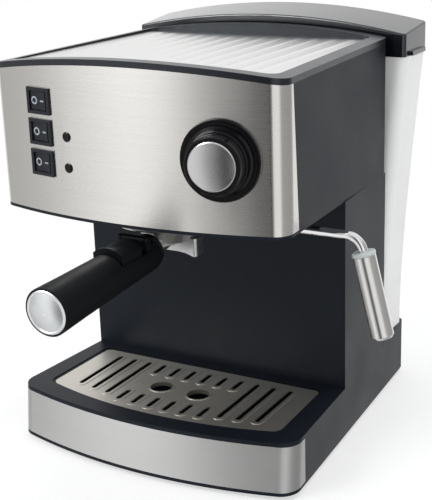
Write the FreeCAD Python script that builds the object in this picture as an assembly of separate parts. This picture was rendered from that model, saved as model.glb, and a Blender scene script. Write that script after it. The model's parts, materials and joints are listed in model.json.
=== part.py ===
import FreeCAD, Part
import math
import os

# Espresso machine with a curved steel front, a twin-spout filter holder, a steam wand and a rear water tank.
# Millimetres. X right, Y to the back, Z up from the counter; the plane of symmetry is x = 0.

V = FreeCAD.Vector
UP = V(0, 0, 1)
RIGHT = V(1, 0, 0)
BACK = V(0, 1, 0)

# Common wall sizes and clearances
WALL = 2.6
SHEET = 1.0
FIT = 0.1
RUN = 0.3
PIN_FIT = 0.05

# Base and column
FOOT_H = 3.0
FOOT_R = 9.0
BASE_H = 35.8
BASE_RAKE = 4.0
BASE_FRONT = -118.0
BASE_BACK = 121.5
BASE_HALF = 102.3
BASE_TAPER = 0.0645
BASE_BOW = 368.0
BASE_CORNER = 14.0
BACK_CORNER = 6.0
SHELF_RISE = 4.0
PLATE_T = 2.0
COLUMN_FRONT = -12.0
BODY_BACK = 71.0
COLUMN_H = 134.2
STRIP_UP = 2.3
STRIP_H = 30.7
STRIP_END = -86.0

# Drip tray and its grid
WELL_FRONT = -105.4
WELL_BACK = -20.0
DECK_RIM = 11.9
WELL_TAPER = 0.028
WELL_BOW = 300.0
WELL_CORNER = 9.0
WELL_DEPTH = 26.0
TRAY_T = 1.6
GRID_T = 0.7
GRID_DROP = 0.8
LEDGE_W = 2.4
SLOT_PITCH = 12.9
SLOT_W = 3.6
PAD_W = 8.6
PAD_UP = 0.3
SLOT_BACK = -29.8
SHORT_SLOT = 16.0
DRAIN_R = 8.0
DRAIN_X = 15.0

# Head
HEAD_H = 103.9
HEAD_FRONT = -120.5
HEAD_HALF = 101.8
HEAD_TAPER = 0.0466
HEAD_BOW = 362.0
HEAD_CORNER = 12.0
TOP_BOW = 680.0
RIM_T = 3.8
RIM_W = 9.0
RIM_CORNER = 10.0
PANEL_UP = 2.1
PANEL_END = -87.0
PANEL_LEAN = 6.7
PLATE_DROP = 7.9
TOP_PLATE_T = 1.2
RIB_PITCH = 13.0
RIB_R = 15.0
RIB_UP = 0.35

# Switches, lamps and steam knob on the front panel
SWITCH_X = -62.5
SWITCH_W = 20.0
SWITCH_H = 17.0
SWITCH_PITCH = 20.0
SWITCH_UP = 34.9
ROCKER_TILT = 4.0
ROCKER_PIVOT = 4.0
ROCKER_HALF = 7.2
ROCKER_GAP = 0.6
LAMP_X = -40.0
LAMP_R = 3.2
LAMP_DROP = 1.0
KNOB_X = 68.4
KNOB_UP = 47.5
BEZEL_R = 25.2
KNOB_R = 21.3
KNOB_H = 16.4
CAP_R = 14.8
KNOB_CROWN = 1.5
SPINDLE_R = 3.0

# Brewing group and filter holder
GROUP_Y = -63.0
GROUP_R = 40.0
GROUP_DROP = 8.0
BOWL_R = 31.4
BOWL_H = 24.0
BOWL_TAPER = 15.0
LUG_R = 37.2
LUG_H = 4.0
BOILER_R = 46.0
SPOUT_X = 21.7
SPOUT_W = 13.0
SPOUT_H = 10.0
HANDLE_L = 108.0
HANDLE_R = 15.2
HANDLE_DROOP = 3.0
HANDLE_DOWN = 25.1
HANDLE_DOME = 7.0
NECK_R = 5.5
CLIP_T = 3.6
CLIP_HALF = 11.0
CAP_CROWN = 2.2

# Steam wand
WAND_X = 85.0
WAND_Y = -58.0
WAND_DROP = 7.0
PIPE_R = 3.0
ELBOW_X = 132.9
WAND_TILT = 14.1
BEND_R = 11.5
SLEEVE_R = 7.2
SLEEVE_L = 54.0
COLLAR_L = 2.4

# Water tank
TANK_FRONT = 75.0
TANK_BACK = 118.0
TANK_H = 212.6
TANK_T = 2.4
TANK_CORNER = 8.0
TANK_FLARE = [(0.0, 94.8), (0.5, 100.0), (0.77, 105.2), (1.0, 110.0)]
LID_BOW = 545.0
LID_CORNER = 3.0
LID_EDGE = 1.4
LID_CROWN = 26.9
LID_RISE = 4.7
OUTLET_Y = 96.0
OUTLET_R = 8.0

# Pump
PUMP_X = 40.0
PUMP_Y = 30.0
PUMP_UP = 35.0
PUMP_L = 114.0
PUMP_R = 11.0
COIL_W = 44.0
COIL_H = 56.0

# Levels that follow from the sizes above
WELL_HALF = BASE_HALF - DECK_RIM
Z_BASE = FOOT_H
Z_DECK = Z_BASE + BASE_H
Z_SHELF = Z_DECK + SHELF_RISE
Z_WELL = Z_DECK - WELL_DEPTH
Z_HEAD = Z_DECK + COLUMN_H
Z_FLOOR = Z_HEAD + WALL
Z_CROWN = Z_HEAD + HEAD_H
Z_TOP = Z_CROWN - PLATE_DROP
Z_INNER = Z_BASE + PLATE_T
Z_GRID = Z_DECK - GRID_DROP
Z_TANK = Z_SHELF + TANK_H
Z_SWITCH = Z_HEAD + SWITCH_UP
Z_KNOB = Z_HEAD + KNOB_UP
Z_RING = Z_HEAD - GROUP_DROP
Z_BOILER = Z_FLOOR + 3.5
Z_RIM = Z_BOILER - 4.1
Z_BOWL = Z_RIM - BOWL_H
Z_HANDLE = Z_RIM - HANDLE_DOWN
Z_ARM = Z_HEAD - WAND_DROP
Z_PUMP = Z_INNER + PUMP_UP
Z_PUMP_END = Z_PUMP + PUMP_L
Z_COIL = Z_PUMP + 22.0
GROUP = V(0, GROUP_Y, 0)


def box(x0, x1, y0, y1, z0, z1):
    return Part.makeBox(x1 - x0, y1 - y0, z1 - z0, V(x0, y0, z0))


def rod(radius, start, end):
    return Part.makeCylinder(radius, (end - start).Length, start, end - start)


def post(radius, x, y, z0, z1):
    return Part.makeCylinder(radius, z1 - z0, V(x, y, z0))


def tube(outer, inner, x, y, z0, z1):
    return post(outer, x, y, z0, z1).cut(post(inner, x, y, z0, z1))


def turned(profile, at=V(0, 0, 0), along=UP):
    """Turns a closed (radius, height) profile about an axis."""
    points = [V(r, 0, h) for r, h in profile]
    face = Part.Face(Part.makePolygon(points + points[:1]))
    solid = face.revolve(V(0, 0, 0), UP, 360)
    return solid.transformed(FreeCAD.Placement(at, FreeCAD.Rotation(UP, along)).toMatrix())


def dome(r, crown):
    """Low spherical cap that rises from the origin's level."""
    ball = (r * r + crown * crown) / (2 * crown)
    return Part.makeSphere(ball, V(0, 0, crown - ball)).common(post(r, 0, 0, -0.2, crown + 1))


def slab(points, axis, start, depth):
    """Pushes a closed polygon along X, Y or Z; the points give the other two coordinates in order."""
    place = {"x": lambda a, b: V(start, a, b),
             "y": lambda a, b: V(a, start, b),
             "z": lambda a, b: V(a, b, start)}
    push = {"x": RIGHT, "y": BACK, "z": UP}[axis] * depth
    corners = [place[axis](a, b) for a, b in points]
    return Part.Face(Part.makePolygon(corners + corners[:1])).extrude(push)


def joined(shapes):
    first = shapes[0]
    return first.multiFuse(shapes[1:]).removeSplitter() if len(shapes) > 1 else first


def group(shapes):
    return Part.makeCompound(shapes)


def pipe_path(points, bend):
    """A path of straight runs joined by tangent arcs of one bend radius."""
    edges = []
    start = points[0]
    for before, corner, after in zip(points, points[1:], points[2:]):
        into = (corner - before).normalize()
        out = (after - corner).normalize()
        turn = into.getAngle(out)
        reach = bend * math.tan(turn / 2)
        first = corner - into * reach
        last = corner + out * reach
        inward = (out - into).normalize()
        middle = corner + inward * (bend / math.cos(turn / 2) - bend)
        edges.append(Part.makeLine(start, first))
        edges.append(Part.Arc(first, middle, last).toShape())
        start = last
    edges.append(Part.makeLine(start, points[-1]))
    return Part.Wire(edges)


def swept(points, bend, radius):
    path = pipe_path(points, bend)
    profile = Part.Wire(Part.makeCircle(radius, points[0], points[1] - points[0]))
    return path.makePipeShell([profile], True, False)


def pipe(points, bend, outer, inner):
    return swept(points, bend, outer).cut(swept(points, bend, inner))


def outline(front, half, taper, back, bow, corner, z, inset=0.0):
    """Plan outline at one height: bowed front, rounded corners, straight tapering sides, flat back."""
    slope = math.sqrt(1 + taper * taper)
    centre = front + bow
    front = front + inset
    back = back - inset
    half = half - inset * slope
    bow = bow - inset
    corner = max(corner - inset, 0.8)
    rear = max(BACK_CORNER - inset, 0.8)
    side = V(1 / slope, taper / slope, 0)
    reach = half - corner * slope
    a = 1 + taper * taper
    b = reach * taper + centre
    c = reach * reach + centre * centre - (bow - corner) ** 2
    y1 = (b - math.sqrt(b * b - a * c)) / a
    c1 = V(reach - taper * y1, y1, 0)
    ray = (c1 - V(0, centre, 0)).normalize()
    y2 = back - rear
    c2 = V(half - taper * y2 - rear * slope, y2, 0)
    right = [V(0, centre, 0) + ray * bow, c1 + (ray + side).normalize() * corner, c1 + side * corner,
             c2 + side * rear, c2 + (side + BACK).normalize() * rear, c2 + BACK * rear]
    right = [p + UP * z for p in right]
    left = [V(-p.x, p.y, p.z) for p in right]
    edges = [Part.Arc(left[0], V(0, front, z), right[0]).toShape(),
             Part.Arc(*right[:3]).toShape(),
             Part.makeLine(right[2], right[3]),
             Part.Arc(*right[3:]).toShape(),
             Part.makeLine(right[5], left[5]),
             Part.Arc(left[5], left[4], left[3]).toShape(),
             Part.makeLine(left[3], left[2]),
             Part.Arc(left[2], left[1], left[0]).toShape()]
    return Part.Wire(edges)


def base_block(inset, z0, z1):
    """The raked base between two heights, drawn in from its outside by inset."""
    wires = []
    for z in (z0, z1):
        front = BASE_FRONT - BASE_RAKE * (Z_DECK - z) / BASE_H
        wires.append(outline(front, BASE_HALF, BASE_TAPER, BASE_BACK, BASE_BOW, BASE_CORNER, z, inset))
    return Part.makeLoft(wires, True, True)


def well_block(inset, z0, z1):
    wire = outline(WELL_FRONT, WELL_HALF, WELL_TAPER, WELL_BACK, WELL_BOW, WELL_CORNER, z0, inset)
    return Part.Face(wire).extrude(UP * (z1 - z0))


def head_block(inset, z0, z1):
    wire = outline(HEAD_FRONT, HEAD_HALF, HEAD_TAPER, BODY_BACK, HEAD_BOW, HEAD_CORNER, z0, inset)
    return Part.Face(wire).extrude(UP * (z1 - z0))


def top_opening(inset, z0, z1):
    """The recess in the top for the cup plate, drawn in from its edge by inset."""
    wire = outline(HEAD_FRONT + RIM_W, HEAD_HALF - RIM_W, HEAD_TAPER, BODY_BACK - RIM_W, HEAD_BOW - RIM_W,
                   RIM_CORNER, z0, inset)
    return Part.Face(wire).extrude(UP * (z1 - z0))


def column_block(inset, y0, y1, z0, z1):
    """The column's tapering plan between two depths and heights."""
    w0, w1 = [BASE_HALF - BASE_TAPER * y - inset for y in (y0, y1)]
    return slab([(-w0, y0), (w0, y0), (w1, y1), (-w1, y1)], "z", z0, z1 - z0)


def under_arch(drop):
    """Everything below the arched top, lowered by drop."""
    radius = TOP_BOW - drop
    return Part.makeCylinder(radius, 500, V(0, -250, Z_CROWN - TOP_BOW), BACK)


def panel_zone(gap):
    """The front and the front ends of the sides, which the steel panel covers."""
    z0 = Z_HEAD + PANEL_UP
    y0 = PANEL_END - gap
    points = [(-200, z0), (y0, z0), (y0 - PANEL_LEAN, Z_CROWN), (-200, Z_CROWN)]
    return slab(points, "x", -150, 300)


def front_y(x):
    return HEAD_FRONT + HEAD_BOW - math.sqrt(HEAD_BOW * HEAD_BOW - x * x)


def on_panel(shape, x, z):
    """Sets a shape drawn X right, Y up, Z outward square to the bowed panel at (x, z)."""
    turn = FreeCAD.Rotation(UP, math.degrees(math.asin(x / HEAD_BOW)))
    turn = turn.multiply(FreeCAD.Rotation(RIGHT, 90))
    return shape.transformed(FreeCAD.Placement(V(x, front_y(x), z), turn).toMatrix())


def knob_point(out):
    """A point on the knob's axis, at a distance outward from the panel."""
    lean = math.asin(KNOB_X / HEAD_BOW)
    return V(KNOB_X + out * math.sin(lean), front_y(KNOB_X) - out * math.cos(lean), Z_KNOB)


def switch_levels():
    return [Z_SWITCH + SWITCH_PITCH * i for i in range(3)]


def lamp_levels():
    return [z - LAMP_DROP for z in switch_levels()[:2]]


def panel_holes():
    """Openings for the switches, lamps and knob spindle through the panel and the wall behind it."""
    w = SWITCH_W / 2 - 1.2 + FIT
    h = SWITCH_H / 2 - 1.2 + FIT
    cuts = [on_panel(box(-w, w, -h, h, -30, 6), SWITCH_X, z) for z in switch_levels()]
    cuts += [on_panel(post(LAMP_R - 0.6, 0, 0, -30, 6), LAMP_X, z) for z in lamp_levels()]
    cuts.append(on_panel(post(SPINDLE_R + 1, 0, 0, -30, 6), KNOB_X, Z_KNOB))
    return cuts


def base_posts():
    """Screw posts: two beside the drip tray, two under the tank shelf."""
    x = BASE_HALF - WALL - 4.2
    return [(-x - 4, -62), (x + 4, -62), (-x + 18, BASE_BACK - 18), (x - 18, BASE_BACK - 18)]


def head_posts():
    x = HEAD_HALF - WALL - 6.5
    return [(-x, 2), (x, 2), (-x + 3, 55), (x - 3, 55)]


def cover_screw_points():
    x = BASE_HALF - BASE_TAPER * BODY_BACK - WALL - 5
    return [(s * x, z) for s in (-1, 1) for z in (Z_SHELF + 15, Z_HEAD - 15)]


def lower_housing():
    rear = BODY_BACK + 0.5
    shelf = base_block(0, Z_BASE, Z_SHELF).common(box(-150, 150, rear, 200, 0, Z_SHELF))
    outer = joined([base_block(0, Z_BASE, Z_DECK), shelf])
    hollow = base_block(WALL, Z_BASE - 1, Z_DECK - WALL).cut(well_block(-WALL, Z_WELL - WALL, Z_DECK))
    shelf_room = base_block(WALL, Z_DECK - 8, Z_SHELF - WALL).common(box(-150, 150, rear + WALL, 200, 0, 200))
    room = column_block(WALL, COLUMN_FRONT + WALL, rear, Z_DECK - 8, Z_DECK + 1)
    strip_room = base_block(-1, Z_BASE + STRIP_UP, Z_BASE + STRIP_UP + STRIP_H)
    strip_room = strip_room.cut(base_block(SHEET + FIT, Z_BASE, Z_DECK))
    strip_room = strip_room.common(box(-150, 150, -200, STRIP_END, 0, 200))
    seat = post(OUTLET_R + 4 + FIT, 0, OUTLET_Y, Z_SHELF - 20, Z_SHELF + 1)
    gland = rod(6 + FIT, V(-60, BASE_BACK - 10, Z_BASE + 17), V(-60, BASE_BACK + 5, Z_BASE + 17))
    shell = outer.cut(hollow)
    for cut in (shelf_room, room, well_block(0, Z_WELL, Z_DECK + 1), strip_room, seat, gland):
        shell = shell.cut(cut)
    pillars = [post(4.5, x, y, Z_INNER, (Z_DECK if y < 0 else Z_SHELF) - WALL / 2) for x, y in base_posts()]
    shell = joined([shell] + pillars)
    for x, y in base_posts():
        shell = shell.cut(post(1.6, x, y, Z_INNER - 1, Z_INNER + 14))
    return shell


def column_shell():
    walls = column_block(0, COLUMN_FRONT, BODY_BACK, Z_DECK, Z_HEAD)
    walls = walls.cut(column_block(WALL, COLUMN_FRONT + WALL, BODY_BACK + 1, Z_DECK - 1, Z_HEAD + 1))
    added = []
    for x, y in head_posts():
        wall_x = math.copysign(BASE_HALF - BASE_TAPER * y - WALL / 2, x)
        added.append(post(7.5, x, y, Z_HEAD - 25, Z_HEAD))
        added.append(box(*sorted((x, wall_x)), y - 2, y + 2, Z_HEAD - 25, Z_HEAD))
    flange = BASE_HALF - BASE_TAPER * BODY_BACK - WALL - 10
    for side in (-1, 1):
        added.append(box(*sorted((side * flange, side * (flange + 10.5))), BODY_BACK - WALL - 4, BODY_BACK - WALL,
                         Z_DECK, Z_HEAD))
    shell = joined([walls] + added)
    for x, y in head_posts():
        shell = shell.cut(post(1.6, x, y, Z_HEAD - 16, Z_HEAD + 1))
    for x, z in cover_screw_points():
        shell = shell.cut(rod(1.3, V(x, BODY_BACK - WALL - 5, z), V(x, BODY_BACK, z)))
    return shell


def base_trim():
    strip = base_block(0, Z_BASE + STRIP_UP, Z_BASE + STRIP_UP + STRIP_H)
    strip = strip.cut(base_block(SHEET, Z_BASE, Z_DECK))
    return strip.common(box(-150, 150, -200, STRIP_END - FIT, 0, 200))


def base_plate():
    plate = base_block(WALL + FIT, Z_BASE, Z_BASE + PLATE_T)
    for x, y in base_posts():
        plate = plate.cut(post(1.8, x, y, 0, Z_DECK))
    for x, y in foot_points():
        plate = plate.cut(post(3 + FIT, x, y, 0, Z_DECK))
    for i in range(-3, 4):
        plate = plate.cut(box(i * 9 - 2, i * 9 + 2, 4, 24, 0, Z_DECK))
    return plate


def foot_points():
    wide = BASE_HALF - 18.3
    narrow = wide - 26
    return [(-wide, BASE_FRONT + 32), (wide, BASE_FRONT + 32), (-narrow, BASE_BACK - 18),
            (narrow, BASE_BACK - 18)]


def feet():
    pads = []
    for x, y in foot_points():
        pad = turned([(0, 0), (FOOT_R - 1, 0), (FOOT_R, 1), (FOOT_R, FOOT_H), (3, FOOT_H), (3, FOOT_H + 3),
                      (0, FOOT_H + 3)])
        pads.append(pad.translated(V(x, y, 0)))
    return group(pads)


def screw(x, y, z, length, up=1):
    """A pan-head screw with its head below (up = 1) or above (up = -1) the level z."""
    profile = [(0, -1.8), (2.4, -1.8), (3.2, -1.0), (3.2, 0), (1.5, 0), (1.5, length), (0, length)]
    return turned(profile, V(x, y, z), UP * up)


def case_screws():
    lower = [screw(x, y, Z_BASE, 14) for x, y in base_posts()]
    return group(lower + [screw(x, y, Z_FLOOR, 14, -1) for x, y in head_posts()])


def cover_screws():
    profile = [(0, -1.6), (2.0, -1.6), (2.6, -0.8), (2.6, 0), (1.2, 0), (1.2, 6), (0, 6)]
    return group([turned(profile, V(x, BODY_BACK, z), -BACK) for x, z in cover_screw_points()])


def back_cover():
    y = BODY_BACK - WALL
    plate = column_block(WALL + FIT, y, BODY_BACK, Z_SHELF, Z_HEAD - FIT)
    for x, z in cover_screw_points():
        plate = plate.cut(rod(1.4, V(x, y - 1, z), V(x, BODY_BACK + 1, z)))
    for i in range(8):
        z = Z_HEAD - 60 + i * 6
        plate = plate.cut(box(-40, 40, y - 1, BODY_BACK + 1, z, z + 2.4))
    return plate


def cord_gland():
    profile = [(3.4, -8), (6, -8), (6, 0), (9, 0), (9, 2.5), (6, 4), (5, 9), (3.4, 9)]
    return turned(profile, V(-60, BASE_BACK, Z_BASE + 17), BACK)


def drip_tray():
    top = Z_GRID + 0.2
    tray = well_block(RUN, Z_WELL, top).cut(well_block(RUN + TRAY_T, Z_WELL + TRAY_T, top + 1))
    ledge = well_block(RUN + TRAY_T / 2, Z_GRID - GRID_T - 3, Z_GRID - GRID_T)
    ledge = ledge.cut(well_block(RUN + TRAY_T + LEDGE_W, Z_WELL, top))
    return joined([tray, ledge])


def long_hole(x, y0, y1, width, z0, z1):
    """A bar with rounded ends that runs front to back."""
    r = width / 2
    ends = [post(r, x, y, z0, z1) for y in (y0 + r, y1 - r)]
    return joined([box(x - r, x + r, y0 + r, y1 - r, z0, z1)] + ends)


def slot_runs():
    """Slots of the grid as (x, front end, back end): long at the sides, short before and behind the drains."""
    runs = []
    for i in range(12):
        x = (i - 5.5) * SLOT_PITCH
        near = WELL_FRONT + 10.2 + x * x / (2 * WELL_BOW)
        if abs(x) > 3 * SLOT_PITCH:
            runs.append((x, near + 3.6, SLOT_BACK))
        else:
            runs.append((x, near, near + SHORT_SLOT))
            runs.append((x, SLOT_BACK - SHORT_SLOT, SLOT_BACK))
    return runs


def drip_grid():
    plate = well_block(2 * RUN + TRAY_T, Z_GRID - GRID_T, Z_GRID)
    pads = [long_hole(x, y0 - 3, y1 + 3, PAD_W, Z_GRID - 0.2, Z_GRID + PAD_UP) for x, y0, y1 in slot_runs()]
    for s in (-1, 1):
        plate = plate.cut(post(DRAIN_R + 0.6, s * DRAIN_X, GROUP_Y, 0, Z_DECK))
        pads.append(tube(DRAIN_R + 1.2, DRAIN_R, s * DRAIN_X, GROUP_Y, Z_GRID - 3, Z_GRID + PAD_UP))
    slots = [long_hole(x, y0, y1, SLOT_W, Z_WELL, Z_SHELF) for x, y0, y1 in slot_runs()]
    return joined([plate] + pads).cut(slots)


def valve_boss():
    """Pad behind the panel that carries the steam valve."""
    return on_panel(post(13, 0, 0, -9, -SHEET - 1.2), KNOB_X, Z_KNOB)


def head_shell():
    outer = head_block(0, Z_HEAD, Z_CROWN).common(under_arch(RIM_T))
    shell = outer.cut(head_block(WALL, Z_FLOOR, Z_CROWN))
    skin = head_block(-1, Z_HEAD, Z_CROWN).cut(head_block(SHEET + FIT, Z_HEAD, Z_CROWN)).common(panel_zone(0))
    shell = joined([shell.cut(skin), valve_boss()])
    shell = shell.cut(post(GROUP_R + FIT, 0, GROUP_Y, Z_HEAD - 1, Z_FLOOR + 1))
    shell = shell.cut(post(PIPE_R + 0.8, WAND_X, WAND_Y, Z_HEAD - 1, Z_FLOOR + 1))
    shell = shell.cut(box(-70, 70, COLUMN_FRONT + 12, BODY_BACK - 12, Z_HEAD - 1, Z_FLOOR + 1))
    for x, y in head_posts():
        shell = shell.cut(post(1.8, x, y, Z_HEAD - 1, Z_FLOOR + 1))
    for cut in panel_holes():
        shell = shell.cut(cut)
    return shell


def front_panel():
    skin = head_block(0, Z_HEAD, Z_CROWN).cut(head_block(SHEET, Z_HEAD, Z_CROWN))
    skin = skin.common(panel_zone(FIT)).common(under_arch(RIM_T + FIT))
    for cut in panel_holes():
        skin = skin.cut(cut)
    return skin


def top_frame():
    low = Z_TOP - TOP_PLATE_T - 3.0
    skin = head_block(0, low - 20, Z_CROWN + 1).common(under_arch(0)).cut(under_arch(RIM_T))
    wall = head_block(RIM_W - 2.4, low, Z_CROWN + 1).common(under_arch(0))
    frame = joined([skin, wall])
    frame = frame.cut(top_opening(0, Z_TOP - TOP_PLATE_T, Z_CROWN + 2))
    return frame.cut(top_opening(5, low - 30, Z_CROWN + 2))


def cup_plate():
    plate = top_opening(FIT, Z_TOP - TOP_PLATE_T, Z_TOP)
    ribs = []
    for i in range(13):
        x = (i - 6) * RIB_PITCH
        y0 = front_y(x) + RIM_W + 9
        y1 = BODY_BACK - RIM_W - 8
        rib = rod(RIB_R, V(x, y0, Z_TOP + RIB_UP - RIB_R), V(x, y1, Z_TOP + RIB_UP - RIB_R))
        ribs.append(rib.common(box(x - 5, x + 5, y0, y1, Z_TOP - 0.2, Z_TOP + 1)))
    return joined([plate] + ribs)


def switch_frames():
    frames = []
    w = SWITCH_W / 2
    h = SWITCH_H / 2
    inner_w = ROCKER_HALF + ROCKER_GAP
    inner_h = h - 2.2
    flange = box(-w, w, -h, h, 0.05, 1.2)
    body = box(1.2 - w, w - 1.2, 1.2 - h, h - 1.2, -16, 1)
    blades = [box(x - 0.4, x + 0.4, -2.5, 2.5, -23, -15) for x in (-5, 5)]
    frame = joined([flange, body] + blades).cut(box(-inner_w, inner_w, -inner_h, inner_h, -13.5, 3))
    frame = frame.cut(rod(1.2 + PIN_FIT, V(0, 1.4 - h, -ROCKER_PIVOT), V(0, h - 1.4, -ROCKER_PIVOT)))
    for z in switch_levels():
        frames.append(on_panel(frame, SWITCH_X, z))
    return group(frames)


def rocker(level):
    half = SWITCH_H / 2 - 2.2 - RUN
    n = ROCKER_PIVOT
    points = [V(-ROCKER_HALF, 0.6, 0), V(0, 0, 0), V(ROCKER_HALF, 0.6, 0), V(ROCKER_HALF, -n - 1, 0),
              V(ROCKER_HALF - 2.5, -n - 3.5, 0), V(2.5 - ROCKER_HALF, -n - 3.5, 0),
              V(-ROCKER_HALF, -n - 1, 0)]
    points = [V(p.x, -half, p.y) for p in points]
    paddle = Part.Face(Part.makePolygon(points + points[:1])).extrude(BACK * 2 * half)
    pins = rod(1.2, V(0, -half - 1, -n), V(0, half + 1, -n))
    paddle = joined([paddle, pins])
    paddle.rotate(V(0, 0, -n), BACK, -ROCKER_TILT)
    paddle = paddle.transformed(FreeCAD.Matrix(), True)
    return on_panel(paddle, SWITCH_X, switch_levels()[level])


def lamp_lenses():
    stem = LAMP_R - 0.6 - FIT
    profile = [(0, -7), (stem, -7), (stem, 0.05), (LAMP_R, 0.05), (LAMP_R, 0.4), (LAMP_R - 0.6, 0.7), (0, 1)]
    return group([on_panel(turned(profile), LAMP_X, z) for z in lamp_levels()])


def knob_bezel():
    skirt = KNOB_R + RUN
    profile = [(SPINDLE_R + 1, -3), (BEZEL_R, -3), (BEZEL_R, 1.2), (BEZEL_R - 0.6, 1.6), (skirt + 2, 1.6),
               (skirt + 1.8, 2.6), (skirt, 2.6), (skirt, 1.2), (SPINDLE_R + 1, 1.2)]
    ring = on_panel(turned(profile), KNOB_X, Z_KNOB)
    return ring.cut(head_block(-FIT, Z_HEAD, Z_CROWN))


def steam_knob():
    r = KNOB_R
    profile = [(SPINDLE_R, 3), (6, 3), (6, 12), (r - 5.5, 12), (r - 4.2, 1.5), (r, 1.5), (r, 3.6),
               (r - 1.6, 4.2),
               (r - 2.0, 8.0), (r - 2.6, 8.4), (r - 2.9, 12.2), (r - 3.5, 12.6), (r - 4.0, KNOB_H - 0.6),
               (r - 4.6, KNOB_H), (CAP_R + FIT, KNOB_H), (CAP_R + FIT, KNOB_H - 1.4),
               (SPINDLE_R, KNOB_H - 1.4)]
    pointer = box(-0.9, 0.9, r - 5.2, r - 2.4, KNOB_H - 5.4, KNOB_H - 0.8)
    pointer.rotate(V(0, 0, 0), UP, -30)
    pointer = pointer.transformed(FreeCAD.Matrix(), True)
    return on_panel(joined([turned(profile), pointer]), KNOB_X, Z_KNOB)


def knob_cap():
    profile = [(0, -1.4), (CAP_R, -1.4), (CAP_R, 0.3), (CAP_R - 0.6, 0.8), (0, 0.8)]
    crown = dome(CAP_R - 0.6, KNOB_CROWN)
    crown.translate(UP * 0.8)
    cap = joined([turned(profile), crown])
    cap.translate(UP * KNOB_H)
    return on_panel(cap.transformed(FreeCAD.Matrix(), True), KNOB_X, Z_KNOB)


def knob_spindle():
    profile = [(0, -34), (1.2, -32), (SPINDLE_R, -30), (SPINDLE_R, KNOB_H - 1.4), (0, KNOB_H - 1.4)]
    return on_panel(turned(profile), KNOB_X, Z_KNOB)


def steam_valve():
    bore = SPINDLE_R + PIN_FIT
    profile = [(bore, -9), (12, -9), (12, -11), (7, -11), (7, -15), (11, -15), (11, -40), (0, -40), (0, -36),
               (bore, -36)]
    body = on_panel(turned(profile), KNOB_X, Z_KNOB)
    port = knob_point(-30)
    body = joined([body, post(4.5, port.x, port.y, Z_KNOB + 8, Z_KNOB + 15),
                   post(4.5, port.x, port.y, Z_KNOB - 15, Z_KNOB - 8)])
    body = body.cut(post(2, port.x, port.y, Z_KNOB - 16, Z_KNOB + 16))
    return body.cut(rod(bore, knob_point(-36), knob_point(-9)))


def group_ring():
    top = Z_BOILER
    lip = BOWL_R + 0.8
    channel = LUG_R + 0.6
    upper = BOWL_R + 3.8
    profile = [(lip, Z_RING), (GROUP_R - 1, Z_RING), (GROUP_R, Z_RING + 1), (GROUP_R, Z_FLOOR),
               (BOILER_R + 1, Z_FLOOR),
               (BOILER_R + 1, top), (upper, top), (upper, Z_RIM + 0.4), (channel, Z_RIM + 0.4),
               (channel, Z_RIM - LUG_H - 2.6), (lip, Z_RIM - LUG_H - 2.6)]
    ring = turned(profile, GROUP)
    gate = box(-LUG_R - 0.6, LUG_R + 0.6, -14, 14, Z_RING - 1, Z_RIM - LUG_H)
    gate.rotate(V(0, 0, 0), UP, -45)
    return ring.cut(gate.transformed(FreeCAD.Matrix(), True).translated(GROUP))


def group_gasket():
    return tube(BOWL_R + 3.6, BOWL_R - 3.6, 0, GROUP_Y, Z_RIM + 1.2, Z_BOILER)


def shower_screen():
    r = BOWL_R - 4.4
    z = Z_RIM + 1.6
    disc = turned([(0, z), (r, z), (r, Z_BOILER), (r - 1, Z_BOILER), (r - 1, z + 0.8), (0, z + 0.8)], GROUP)
    cuts = [post(2.5, 0, GROUP_Y, z - 1, Z_BOILER)]
    for count, reach in ((8, 10), (14, 16), (20, 22)):
        for i in range(count):
            angle = 2 * math.pi * i / count
            cuts.append(post(0.8, reach * math.cos(angle), GROUP_Y + reach * math.sin(angle), z - 1,
                             Z_BOILER))
    return disc.cut(cuts)


def shower_screw():
    z = Z_RIM + 1.6
    profile = [(0, z - 1.8), (3.4, z - 1.8), (4.2, z - 0.8), (4.2, z), (2.4, z), (2.4, Z_BOILER + 8),
               (0, Z_BOILER + 8)]
    return turned(profile, GROUP)


def boiler_base():
    z = Z_BOILER
    profile = [(2.45, z), (BOILER_R, z), (BOILER_R, z + 24), (BOILER_R - 12, z + 24),
               (BOILER_R - 12, z + 10), (2.45, z + 10)]
    body = turned(profile, GROUP)
    body = body.cut([post(1.65, x, y, z + 8, z + 25) for x, y in boiler_screw_points()])
    return body.cut(rod(1.8, V(0, GROUP_Y, z + 14), V(0, GROUP_Y + BOILER_R + 1, z + 14)))


def boiler_screw_points():
    reach = BOILER_R - 3
    angles = [math.radians(45 + 90 * i) for i in range(4)]
    return [(reach * math.cos(a), GROUP_Y + reach * math.sin(a)) for a in angles]


def boiler_top():
    z = Z_BOILER + 24
    r = BOILER_R
    profile = [(0, z + 30), (r - 12, z + 30), (r - 12, z), (r, z), (r, z + 5), (r - 6.2, z + 5),
               (r - 6.2, z + 33),
               (r - 8.2, z + 35), (0, z + 35)]
    body = turned(profile, GROUP)
    body = body.cut([post(1.65, x, y, z - 1, z + 6) for x, y in boiler_screw_points()])
    legs = [post(4 + PIN_FIT, s * 20, GROUP_Y, z + 29, z + 36) for s in (-1, 1)]
    port = post(1.8, 0, GROUP_Y + 22, z + 29, z + 36)
    return body.cut(legs + [port])


def boiler_screws():
    z = Z_BOILER + 29
    return group([screw(x, y, z, 16, -1).common(post(2.6, x, y, 0, 400)) for x, y in boiler_screw_points()])


def heating_element():
    z = Z_BOILER + 24
    points = [V(-20, GROUP_Y, z + 44), V(-20, GROUP_Y, z - 4), V(20, GROUP_Y, z - 4), V(20, GROUP_Y, z + 44)]
    return swept(points, 12, 4)


def thermostats():
    z = Z_BOILER + 59
    profile = [(0, z), (8, z), (8, z + 5), (5, z + 6), (5, z + 9), (0, z + 9)]
    return group([turned(profile, V(0, GROUP_Y + y, 0)) for y in (-18, 2)])


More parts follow.
